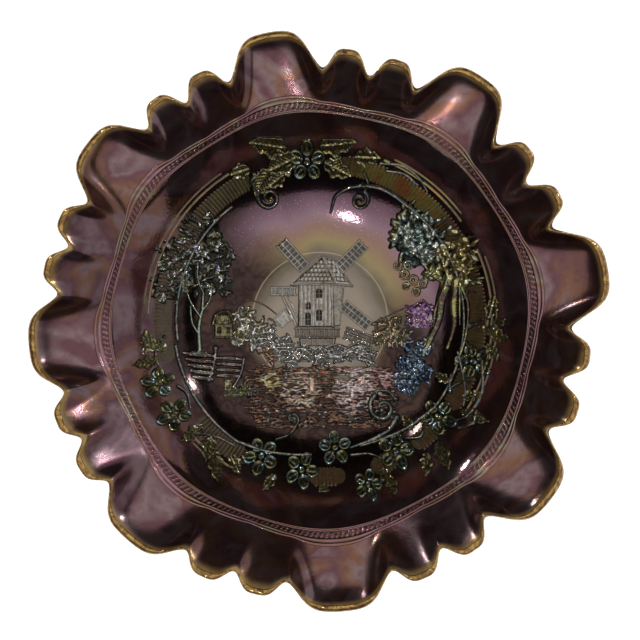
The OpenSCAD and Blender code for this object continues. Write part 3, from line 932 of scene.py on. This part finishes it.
def draw_cottage(d):
    """A small thatched cottage with two windows."""
    d.slab([(-45.6, -7.4), (-37.6, -7.4), (-37.6, -1.6), (-45.6, -1.6)], 0.7)
    d.curve([(-46.4, -1.8), (-45.2, 1.6), (-42.6, 3.6), (-39.6, 3.3), (-37.2, -1.4)], 1.4, 1.2)
    d.oval((-41.9, 0.6), (4.3, 2.8), -6, 0.9, 0.3)
    for x in np.arange(-45.2, -38, 0.95):
        d.groove((x, -1.2), (x + (-41.9 - x) * 0.25, 3.2), 0.35, 0.45)
    d.ridge([(-46.7, -1.9), (-37, -1.7)], 0.8, 1.25)
    for x in (-43.6, -39.7):
        d.carve((x, -4.4), (1.15, 1.5), 0.5)
        d.ridge([(x - 1, -5.9), (x - 1, -3), (x + 1, -3), (x + 1, -5.9), (x - 1, -5.9)], 0.4, 1)
    d.ridge([(-46, -7.6), (-37.2, -7.6)], 0.9, 0.9)


def draw_fence(d):
    """A fence of wide planks in two bays, between posts."""
    rng = np.random.default_rng(5)
    for k in range(5):
        y = -14.0 - k * 2.5
        middle = (-51.6, y - 0.9 + rng.normal(0, 0.2))
        d.curve([(-57.4 + 0.9 * k, y), middle, (-46.2, y - 1.5)], 2.1, (1, 1.4))
        d.groove((-56.0 + 0.9 * k, y - 0.4), (-46.4, y - 1.4), 0.5, 0.5)
    for k in range(4):
        y = -16.4 - k * 2.5
        d.curve([(-44, y), (-39, y + rng.normal(0, 0.2)), (-34.6, y - 0.6)], 2, (1.4, 1))
        d.groove((-43.6, y), (-35.4, y - 0.5), 0.5, 0.5)
    d.curve([(-45, -12.2), (-45.7, -18.5), (-47.6, -26)], 1.8, 1.4)
    d.curve([(-33, -16.6), (-34.3, -23), (-37.4, -29)], 1.7, 1.3)
    d.oval((-45, -12), (1.5, 1.3), 0, 1.5)


def draw_left_tree(d):
    """A slender tree with five limbs and loose foliage."""
    rng = np.random.default_rng(21)
    clumps = [(-50, 36, 8.5), (-58, 25, 9.5), (-45, 26, 7.5), (-63.5, 14.5, 7), (-42.5, 16, 5.2),
              (-52.5, 15, 6)]
    d.foliage(clumps, rng, (2, 0.85), (0.4, 1.3), 0.24, 0.5, 0.05)
    d.curves((1.3, 0.9), [
        ([(-51.6, -13), (-52, -3), (-50.6, 5), (-50.2, 13)], (2.2, 1.3)),
        ([(-50.8, 4), (-47.5, 9), (-46.6, 16)], (1.2, 0.7)),
        ([(-51.2, 1), (-55, 7), (-57.5, 14)], (1.1, 0.6)),
        ([(-52.2, -6), (-54.8, -1), (-55.5, 6)], (0.9, 0.5)),
        ([(-50, 11), (-52.4, 18), (-52, 26)], (1.1, 0.6))])
    for x in (-51.2, -53.4):
        d.ridge([(x - 1.4, -13.6), (x + 2.6, -14.2)], 0.8, 0.7)


def draw_right_tree(d):
    """A leaning tree with twin trunks, dense foliage and ring-shaped leaves at its left."""
    rng = np.random.default_rng(8)
    clumps = [(39, 42, 7), (47.5, 35, 8.2), (56.5, 29, 8), (41, 29.5, 7), (50.5, 23.5, 6.4),
              (62.5, 20.5, 6.2), (34.5, 35, 4.6)]
    d.foliage(clumps, rng, (2.3, 1.15), (0.5, 2), 0.22, 0.55, 0.1)
    for x, y, r in ((36.5, 19.6, 1.9), (40.2, 17.2, 2.1), (33.8, 23.4, 1.7), (44.3, 15.6, 1.8),
                    (41.6, 12.2, 1.6), (38.2, 23.8, 1.8), (46.8, 19, 1.9), (37.2, 14.6, 1.3)):
        ring = [(x + r * math.cos(t), y + r * math.sin(t)) for t in np.linspace(0, 5.6, 12)]
        d.ridge(ring, 0.95, 1.2)
        d.oval((x, y), (r * 0.45, r * 0.45), 0, 1)
    d.curves((1.5, 1), [
        ([(54.5, 18), (51.8, 9), (50.6, 0), (47.4, -8), (44.6, -15)], (5, 2.6)),
        ([(57.6, 17), (56.8, 7), (57, -3), (54.4, -12)], (3.6, 1.8)),
        ([(52.4, 12), (49.6, 4), (48.6, -4), (45, -11)], (1.5, 0.9)),
        ([(59.6, 16), (59.6, 7), (59.6, -2)], (1.3, 0.8)),
        ([(54.5, 15), (49, 19), (43.5, 25)], (2, 0.9)),
        ([(56.6, 15), (60, 20), (62.6, 24)], (1.7, 0.8)),
        ([(55.4, 15), (53.5, 22), (50, 30)], (2, 0.9)),
        ([(60.2, 14), (62.8, 7), (62.6, -2), (60.6, -12), (57, -20)], (1.3, 0.9))])
    for y in np.arange(-2, 13, 1.3):
        d.oval((58.2 + 0.02 * y, y), (0.42, 0.42), 0, 0.8)


def draw_hills(d):
    """A low hill line on each side, with a gabled shape at the right."""
    rng = np.random.default_rng(3)
    d.curve([(20.5, -2.4), (27.5, 0.8), (35.5, 4.6), (40.5, 6.4)], 0.7, 0.5)
    d.slab([(38.8, -8.6), (49.2, -8.2), (48.8, 4), (44.8, 8.2), (39.6, 5)], 0.6, 0.8)
    d.ridge([(38.4, 4.6), (44.4, 8.6), (49.6, 3.6)], 0.9, 1.15)
    for _ in range(110):
        at = (rng.uniform(37.6, 48.8), rng.uniform(-8.4, 6.5))
        d.oval(at, (rng.uniform(0.6, 1.9), 0.5), rng.uniform(-60, 80), rng.uniform(0.6, 1.5))
    d.curve([(-37.6, 7), (-31.5, 8.8), (-24.5, 6.6), (-19, 2.6)], 0.6, 0.45)
    for _ in range(46):
        t = rng.uniform(0, 1)
        at = (-36 + 17 * t, rng.uniform(-5, 5.4 - 5 * t))
        d.oval(at, (rng.uniform(0.4, 1), 0.42), rng.uniform(0, 180), rng.uniform(0.3, 0.7))


def draw_bushes(d):
    """Bushes to the left and right, cracked rocks under the mill, and curled fronds."""
    rng = np.random.default_rng(14)
    left = [(-33, 1.6, 4.4), (-31.6, -5.6, 4), (-26.4, -3.4, 3.2), (-36, -8.2, 3),
            (-27, -10.4, 3.4)]
    d.foliage(left, rng, (1.7, 0.75), (0.6, 1.5), 0.42, 0.5, 0.05)
    gold = [(27, -3.6, 3.8), (33.2, -3.4, 4.2), (36.6, -7.6, 3.4), (29.6, -8.4, 3.2),
            (25, -8, 2.6)]
    d.foliage(gold, rng, (1.4, 0.65), (0.5, 1.5), 0.5, 0.4, 0.05)
    for x in np.arange(26, 38, 1.8):
        d.ridge([(x, -9.4), (x + 0.3, -12)], 0.6, 0.8)
    rocks = [(-22.5, -8.2, 4.2), (-15.5, -11.4, 4.6), (-7.5, -14.4, 4.4), (0.5, -15.6, 4.6),
             (8, -14.6, 4.6), (15.2, -13.6, 4.2), (21, -15.4, 3.8), (-20.6, -15.2, 3.6),
             (-12.6, -18, 3.4)]
    d.foliage(rocks, rng, (1.5, 0.6), (0.5, 1.3), 0.30, 0.2, 0.1)
    for x, y, r in rocks:
        for k in range(3):
            bend = rng.normal(0, 0.8, 6).reshape(3, 2)
            crack = np.array([(x - r, y - 2.4), (x, y - 1.2), (x + r, y - 2.6)]) + (0, 2 * k)
            d.curve(crack + bend, (0.8, 0.5), (1.1, 0.7), 6)
    blue = [(41.5, -14.6, 4.4), (37.2, -20.4, 4.6), (43.2, -22.6, 4.4), (38.6, -28.4, 4),
            (34.6, -25.4, 3.4), (46.2, -10.8, 2.8)]
    d.foliage(blue, rng, (1.6, 0.8), (0.5, 1.6), 0.36, 0.4, 0.05)
    for x, y, r, start in ((37.6, -17.4, 2.6, 30), (43.2, -18.8, 2.4, 200), (39.6, -24.8, 2.3, 90),
                           (45.4, -13.4, 2, 300), (35.4, -29.4, 1.8, 140)):
        d.spiral((x, y), r, start, 420, 0.95, 1.35)
    corner = [(-42.5, -26.4, 4.2), (-37.4, -31.8, 4.6), (-32.2, -36.6, 3.6), (-44.6, -32.4, 2.8),
              (-31.6, -28.6, 2.8)]
    d.foliage(corner, rng, (1.25, 0.5), (0.45, 1.15), 0.4, 0.3)
    for x, y, r, start in ((-40.4, -28.4, 2.1, 0), (-35.2, -33.8, 2, 120),
                           (-31.2, -31, 1.7, 240)):
        d.spiral((x, y), r, start, -400, 0.85, 1.2)


def draw_ripples(d):
    """The pond: glints and broken ripples inside its banks, a plank path and a mooring post."""
    rng = np.random.default_rng(30)

    def bank(y):
        """Half the width of the pond at a height, with a rather ragged shore."""
        return (33 + rng.normal(0, 1.5)) * math.sqrt(max(0.05, 1 - ((y + 31) / 22.5) ** 2))

    for _ in range(900):
        y = rng.uniform(-53, -21)
        reach = bank(y)
        d.oval((rng.uniform(-reach, reach), y), (rng.uniform(0.9, 2.4), rng.uniform(0.35, 0.6)),
               rng.normal(0, 12), rng.uniform(0.3, 1.15))
    for y in np.arange(-54, -20.5, 1.45):
        reach = bank(y)
        x = -reach + rng.uniform(0, 3)
        while x < reach:
            length = rng.uniform(2, 6.5)
            tilt, wave = rng.normal(0, 0.35), rng.normal(0, 0.3)
            yy = y + rng.normal(0, 0.3)
            if rng.uniform() < 0.88:
                d.curve([(x, yy), (x + length * 0.5, yy + wave), (x + length, yy + tilt)],
                        (0.9, 0.6), (rng.uniform(0.6, 1.3), 0.5), 4)
            x += length + rng.uniform(0.3, 1.8)
    for points in ([(-25, -20.4), (-15, -22), (-7, -21.2), (4, -22.4)],
                   [(6, -20.6), (14, -22.6), (22, -20.8), (29, -21.8)]):
        d.curve(points, (1.3, 0.8), (0.9, 0.6))
    d.slab([(-12.5, -23.6), (3.4, -23.6), (2.6, -22.2), (-11.4, -22.2)], 0.9, 0.4)
    d.slab([(-4.8, -31.6), (-2.4, -31.6), (-2, -23.4), (-5, -23.4)], 1.25, 0.5)
    d.ridge([(-9.4, -23.6), (-4.6, -28.2)], 0.8, 0.9)
    for x, y in ((14.5, -30.5), (10.5, -34.5), (18.2, -27.6), (-9.6, -33.4), (-5.8, -36.4),
                 (24, -29.6)):
        for _ in range(16):
            d.oval((x + rng.normal(0, 2.6), y + rng.normal(0, 1.9)), (rng.uniform(0.9, 2), 0.6),
                   rng.uniform(-35, 35), rng.uniform(0.7, 1.3))


def draw_ribs(d):
    """Ribs across the medallion's frame, with gaps where the wreath covers it."""
    gaps = ((80, 118), (193, 221), (240, 268), (276, 291), (299, 308), (318, 327), (340, 350))
    step = 1.35
    for a in np.arange(0, 360, step):
        if any(low <= a <= high for low, high in gaps):
            continue
        d.ridge([polar(a, 62.8), polar(a, 69)], (1.1, 1.25), (0.22, 0.34))
        d.ridge([polar(a, 66), polar(a + step, 66)], 6, 0.12)
    for a0, a1 in ((35, 68), (122, 178), (222, 238), (-32, 24)):
        d.ridge(arc(71.6, a0, a1), 0.8, 0.75)
        d.ridge(arc(73.2, a0 + 2, a1 - 3), 0.65, 0.6)


def draw_scrolls(d):
    """The tendrils, the medallion's frame lines and the wreath's stalks."""
    d.spiral((-21.8, 52.4), 5.2, 150, 560, 2.5, 1.9)
    d.curve([(-26.2, 54.8), (-29, 58.6), (-26, 62)], (2.3, 1.6), 1.7)
    d.spiral((17, 51.4), 4.2, 60, -560, 2.1, 1.8)
    d.curve([(18.9, 55.2), (20.4, 58), (18.6, 62.4)], (1.9, 1.4), 1.6)
    hook = [(20.4, 57.2), (12.8, 56.6), (7, 53.4), (5.4, 49.6), (4.6, 46.4)]
    d.curve(hook, (2.2, 1.2), (1.7, 1.3))
    d.curve([(17.5, 57.2), (25, 56.2), (31.6, 52.8), (37.6, 48.2)], (2.3, 1.8), 1.7)
    d.ridge(arc(61.2, 52, 38, 12), (1.8, 1.6), 1.4)
    d.spiral((27.2, -38), 6.4, 120, 470, 3.6, 2)
    d.curve([(21.6, -33.6), (24.6, -30.8), (29.4, -30.8), (32.6, -34)], (1.4, 3.2), (1.3, 1.9))
    d.curve([(33, -41.6), (29.4, -47), (21.6, -51.4), (13.2, -54.6)], (3, 1.4), (1.9, 1.2))
    d.spiral((-12.2, -42.8), 3.4, -60, 330, 2.3, 1.7)
    d.curve([(-10.4, -46), (-13.6, -49.4), (-19, -51.2)], (2.1, 1.2), 1.4)
    d.spiral((-28.4, -31.6), 2.7, 200, -380, 1.7, 1.4)
    for r, a0, a1 in ((61.2, 36, -38), (61, 128, 188), (62.2, 190, 236)):
        d.ridge(arc(r, a0, a1), 1.5, 1)
    for end in ([(-38, 61), (-50, 59.2), (-62, 57.4), (-72, 56.6)],
                [(236, 62.2), (247, 60.4), (258, 58.6), (266, 57.6)]):
        d.vine(end, (1.8, 1.4), 1.2)
    for stalk in (
            [(-13, 60.2), (-19, 63.5), (-26, 68), (-31, 70)],
            [(-14, 70), (-24, 73.5), (-33, 73), (-38, 68.8)],
            [(69, 70.2), (62, 72.6), (55, 72), (50, 70)], [(66, 68.6), (60, 70.4), (54, 69.8)],
            [(186, 66), (192, 70.5), (199, 69)], [(222, 70.6), (228, 66), (236, 64.2)],
            [(205, 66), (209, 64.2), (214, 66)], [(-4, 62), (-1, 66), (1, 70)],
            [(-8, 62), (-11, 66), (-10, 71)], [(240, 66), (251, 69), (258, 70)],
            [(268, 66), (273, 62), (281, 61)], [(283, 59), (290, 60.5), (294, 64)],
            [(306, 62), (311, 65), (316, 61)], [(331, 63), (337, 60.5), (341, 63)],
            [(280, 66), (283, 68), (291, 69)], [(-28, 62), (-24, 65), (-22, 69)],
            [(-38, 73), (-34, 76), (-30, 75)]):
        d.vine(stalk, (1.5, 0.9), (1.2, 0.9))
    for a in (8, -4, -16, 152, 166):
        d.vine([(a, 61.4), (a + 3, 64.4), (a + 1.5, 67)], (1.1, 0.7), 0.9)


def draw_flowers(d):
    """The flowers of the wreath."""
    flowers = [
        # angle and radius of the middle, size, turn
        (94.7, 67, 7.3, 18), (246.5, 62.8, 7, 40), (263, 63.9, 6.8, 66),
        (276.7, 55.1, 6.7, 95), (300, 64, 7.1, 10), (320.7, 64.6, 6.9, 52),
        (344.8, 66.9, 6.8, 30), (286.3, 71.5, 5.6, 78), (201.3, 72.2, 6, 22),
        (212.9, 72.2, 6.2, 60)]
    for a, r, size, turn in flowers:
        d.flower(polar(a, r), 1.1 * size, turn)


def draw_leaves(d):
    """The leaves of the wreath, and two small tendrils at its top."""
    leaves = [
        # angle and radius of the stalk end, heading, length, width
        (98.5, 69, 205, 12.5, 8), (101, 73, 176, 14, 7.4), (109, 67, 240, 11, 6.6),
        (104, 63.6, 218, 8, 5), (115, 70, 200, 8, 4.6), (90, 72.5, 4, 14, 7.2),
        (88.5, 66.6, -26, 12, 6.2), (78, 69.8, -4, 10, 5.4), (84, 74, 40, 7, 4),
        (94, 74, 110, 6, 4.2), (226, 66, 262, 10, 4.8), (231, 70.2, 280, 11, 4.6),
        (222, 66.4, 215, 9, 4.4), (236.5, 68, 300, 8, 3.6), (191, 66, 150, 9.5, 4.6),
        (194, 69.5, 190, 8.6, 4.2), (190, 72, 100, 8, 3.8), (187, 69, 228, 7, 3.4),
        (356, 68.5, 32, 9, 4.4), (356.5, 70.2, -30, 8.4, 4.2), (0.5, 70.6, 78, 9.2, 3.6),
        (352, 70.6, -62, 7.2, 3.2), (327, 70.4, -18, 9.6, 4.8), (314, 70.8, -72, 10, 4.6),
        (309, 71.2, -98, 8.2, 3.6), (331, 68.4, 24, 7.4, 3.6), (292, 67.4, -46, 7.2, 4),
        (294, 71, -76, 7, 3.6), (254, 67.6, 228, 7, 3.4), (270.5, 68.6, 288, 6.8, 3.4),
        (310, 60.6, 120, 6.6, 3.2), (334, 60.8, 140, 6.4, 3.2)]
    for a, r, turn, length, width in leaves:
        d.leaf(polar(a, r), turn, 1.1 * length, 1.3 * width, 1.2, 0.2)
    for a in (101.5, 84.5):
        d.spiral(polar(a, 64.6), 2, 80, 300, 0.9, 1.1)


RELIEF = [
    # CAD node, piece, lustre, margin and grid step of the drawing, drawing
    ("mill_tower", "board_tower", "tower", 2.5, 0.18, draw_tower),
    ("mill_cap", "shingled_cap", "cap", 2, 0.18, draw_cap),
    ("mill_sails", "lattice_sails", "sail", 3, 0.18, draw_sails),
    ("mill_gallery", "rail_gallery", "gallery", 3.5, 0.18, draw_gallery),
    ("mill_ramp", "plank_ramp", "ramp", 2, 0.18, draw_ramp),
    ("cottage", "thatched_cottage", "cottage", 2, 0.2, draw_cottage),
    ("fence", "plank_fence", "fence", 2.5, 0.2, draw_fence),
    ("left_tree", "leafy_tree_left", "left_tree", 6, 0.25, draw_left_tree),
    ("right_tree", "leafy_tree_right", "right_tree", 4, 0.25, draw_right_tree),
    ("hills", "hill_and_gable", "hill", 2.5, 0.25, draw_hills),
    ("bushes", "bush_clumps", "bush", 3, 0.22, draw_bushes),
    ("pond_ripples", "pond_water", "ripple", 5, 0.22, draw_ripples),
    ("medallion_ribs", "frame_ribs", "rib", 4, 0.27, draw_ribs),
    ("vine_scrolls", "vine_and_frame", "vine", 8, 0.22, draw_scrolls),
    ("wreath_flowers", "five_petal_flowers", "flower", 3, 0.22, draw_flowers),
    ("wreath_leaves", "veined_leaves", "leaf", 5, 0.22, draw_leaves),
]


# ---- build
glass_piece("well_floor_glass", 0, FLOOR_ROW, WELL_GLASS, "smoke_floor", "well_floor")
glass_piece("wall_glass", FLOOR_ROW, WALL_ROW, WELL_GLASS, "amethyst_wall", "bowl_wall")
glass_piece("upper_wall_glass", WALL_ROW, BAND_ROW, WELL_GLASS, "amethyst_upper", "upper_wall")
glass_piece("ruffled_brim", BRIM_ROW, EDGE_ROW, BRIM_GLASS, "amethyst_brim", "brim")
build_ring_band()
build_lip()
build_foot()
build_outside_panels()
for count, (node, piece, kind, margin, step, draw) in enumerate(RELIEF):
    drawing = Drawing(node, margin, step)
    draw(drawing)
    film = lustre(kind + "_lustre_film", 10.0 * count, **LUSTRES[kind])
    finish_piece(grid_solid(drawing, piece, film), node, slot=kind + "_lustre")


# ---- stage
def build_floor():
    paper = bpy.data.materials.new("pale_paper")
    paper.use_nodes = True
    shader = paper.node_tree.nodes["Principled BSDF"]
    shader.inputs["Base Color"].default_value = (0.9, 0.9, 0.9, 1)
    shader.inputs["Roughness"].default_value = 0.8
    shader.inputs["Emission Color"].default_value = (1, 1, 1, 1)
    shader.inputs["Emission Strength"].default_value = 0.7
    bpy.ops.mesh.primitive_plane_add(size=6)
    floor = bpy.context.object
    floor.name = "floor"
    floor.data.materials.append(paper)


def stand(name, data, at):
    """Put a light or camera in the scene, which looks straight down until it is turned."""
    ob = bpy.data.objects.new(name, data)
    bpy.context.scene.collection.objects.link(ob)
    ob.location = at
    return ob


def area_light(name, at, size, power, colour=(1, 1, 1)):
    """A rectangular light that faces the bowl."""
    data = bpy.data.lights.new(name, "AREA")
    data.shape = "RECTANGLE"
    data.size, data.size_y = size
    data.energy = power
    data.color = colour
    light = stand(name, data, at)
    light.rotation_euler = (-Vector(at)).to_track_quat("-Z", "Y").to_euler()


def build_camera(height=0.45, lens_per_sensor=1.578125):
    """A camera straight above the bowl."""
    data = bpy.data.cameras.new("camera")
    data.sensor_width = 36
    data.lens = data.sensor_width * lens_per_sensor
    bpy.context.scene.camera = stand("camera", data, (0, 0, height))


build_floor()
world = bpy.data.worlds.new("studio")
world.use_nodes = True
world.node_tree.nodes["Background"].inputs["Color"].default_value = (0.02, 0.02, 0.02, 1)
bpy.context.scene.world = world
bpy.context.scene.view_settings.view_transform = "Standard"
area_light("window", (1.5, 0.1, 0.55), (2.6, 1.2), 7, (0.88, 0.9, 1.0))
area_light("ceiling", (0, -0.1, 1.6), (2.8, 2.8), 26)
area_light("lamp", (-0.138, -0.508, 0.95), (0.045, 0.02), 0.4)
area_light("spot_right", (1.0, 0.5, 0.8), (0.06, 0.06), 1.6, (0.85, 0.92, 1.0))
area_light("spot_left", (-0.8, 0.9, 0.8), (0.06, 0.06), 1.6, (0.9, 0.94, 1.0))
build_camera()
